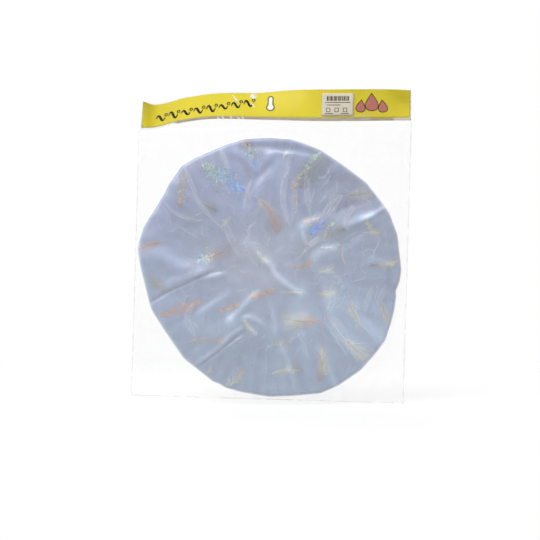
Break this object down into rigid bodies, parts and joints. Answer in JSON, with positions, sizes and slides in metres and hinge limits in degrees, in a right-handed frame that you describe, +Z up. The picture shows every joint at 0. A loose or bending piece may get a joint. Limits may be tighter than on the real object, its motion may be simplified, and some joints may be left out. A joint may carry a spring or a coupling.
{
  "type": "packaged shower cap",
  "caption": "Gathered satin shower cap with a feather print, packed flat in a clear header bag that hangs by a keyhole; the cap slides out of the mouth past a folding lip.",
  "frame": {"origin": "centre of the round end of the keyhole in the header, on the header's front face, where a display peg carries the pack", "axes": "+Z up along the hanging pack, +X to the right as seen from the front, front towards -Y"},
  "size_m": [0.2993, 0.0329, 0.3381],
  "materials": {
    "satin": "silver-blue satin with foil-printed feathers",
    "lining": "soft waterproof sheet",
    "elastic": "braided white",
    "thread": "matt thread",
    "film": "clear glossy film",
    "weld": "hot-cut film edge",
    "seal": "fused film, finely ribbed",
    "adhesive": "clear tacky strip",
    "card": "printed yellow under film",
    "label": "matt sticker"
  },
  "bodies": {
    "pack": {"header_card": "card", "header_front_film": "film", "header_back_film": "film", "header_seal": "seal", "price_label": "label", "bag_back_film": "film", "bag_front_film": "film", "left_side_weld": "weld", "right_side_weld": "weld", "bottom_fold": "weld"},
    "lip": {"closure_lip": "film", "adhesive_strip": "adhesive"},
    "cap": {"cap_satin": "satin", "cap_lining": "lining", "hem_casing": "satin", "elastic_band": "elastic", "hem_stitching": "thread"}
  },
  "joints": [
    {"name": "cap_slide", "type": "slide", "parent": "pack", "child": "cap", "axis": [0.0297, 0, 0.9996], "range_m": [0, 0.3]},
    {"name": "lip_fold", "type": "hinge", "parent": "pack", "child": "lip", "pos_m": [0.00575, -0.01827, -0.02382], "axis": [0.9993, 0, 0.0376], "range_deg": [0, 150]}
  ]
}
